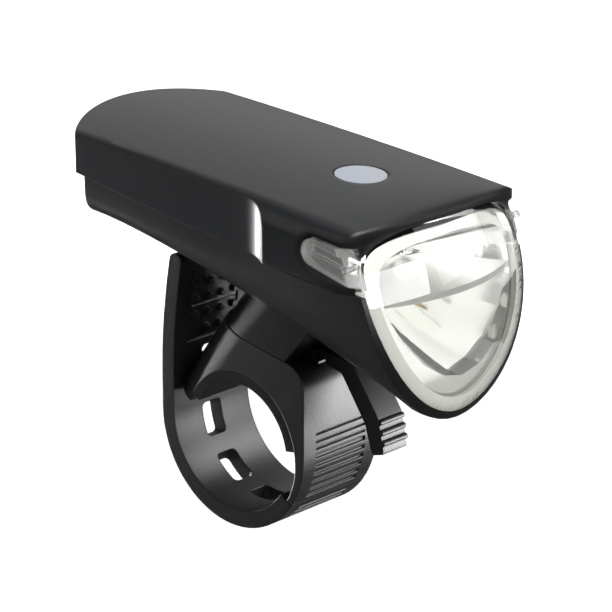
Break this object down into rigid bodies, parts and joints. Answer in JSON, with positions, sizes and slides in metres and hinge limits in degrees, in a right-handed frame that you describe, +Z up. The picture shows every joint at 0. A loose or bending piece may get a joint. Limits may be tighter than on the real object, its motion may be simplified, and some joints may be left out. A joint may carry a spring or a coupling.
{
  "type": "bicycle headlight",
  "caption": "Battery bike headlight with a domed lens, faceted bowl and top button, on a hinged strap clamp with a release lever.",
  "frame": {"origin": "centre of the handlebar, in the middle of the clamp", "axes": "+X forward along the beam, +Y along the bar to the rider's left, +Z up"},
  "size_m": [0.0922, 0.0466, 0.0775],
  "materials": {
    "soft_grey": "soft-touch satin",
    "black_shell": "fine-grained satin",
    "black_clamp": "fine-grained satin",
    "clear_lens": "clear polished",
    "bright_bowl": "vacuum-metallised",
    "bare_aluminium": "satin",
    "white_board": "solder mask",
    "phosphor": "silicone dome",
    "green_board": "solder mask",
    "switch_steel": "plated",
    "indicator": "clear",
    "milky_button": "translucent satin",
    "black_rubber": "matte",
    "cell_foil": "foil",
    "foam": "open cell",
    "lead_red": "satin"
  },
  "bodies": {
    "headlight": {"upper_shell": "soft_grey", "lower_shell": "black_shell", "front_lens": "clear_lens", "lens_gasket": "black_rubber", "reflector": "bright_bowl", "led_shelf": "bare_aluminium", "led_board": "white_board", "led_emitter": "phosphor", "heat_sink": "bare_aluminium", "main_board": "green_board", "tact_switch": "switch_steel", "charge_indicator": "indicator", "charge_socket": "switch_steel", "battery_cell": "cell_foil", "battery_pad": "foam", "battery_leads": "lead_red", "casing_screws": "switch_steel", "board_screws": "switch_steel", "shoe_screws": "switch_steel", "mount_shoe": "black_shell", "clamp_base": "black_clamp", "saddle_pad": "black_rubber"},
    "button": {"power_button": "milky_button"},
    "flap": {"port_flap": "black_rubber"},
    "strap": {"clamp_strap": "black_clamp"},
    "lever": {"release_lever": "black_clamp"}
  },
  "joints": [
    {"name": "button_press", "type": "slide", "parent": "headlight", "child": "button", "axis": [-0.0685, 0, -0.9976], "range_m": [0, 0.0006], "stiffness_N_per_m": 800},
    {"name": "flap_open", "type": "hinge", "parent": "headlight", "child": "flap", "pos_m": [-0.0416, 0, 0.053], "axis": [0, -1, 0], "range_deg": [0, 95], "stiffness_Nm_per_rad": 0.002},
    {"name": "strap_open", "type": "hinge", "parent": "headlight", "child": "strap", "pos_m": [0.0134, 0, -0.00838], "axis": [0, -1, 0], "range_deg": [0, 70], "stiffness_Nm_per_rad": 0.05},
    {"name": "lever_press", "type": "hinge", "parent": "headlight", "child": "lever", "pos_m": [0.0152, 0, 0.02082], "axis": [0, 1, 0], "range_deg": [0, 14], "stiffness_Nm_per_rad": 0.5}
  ]
}
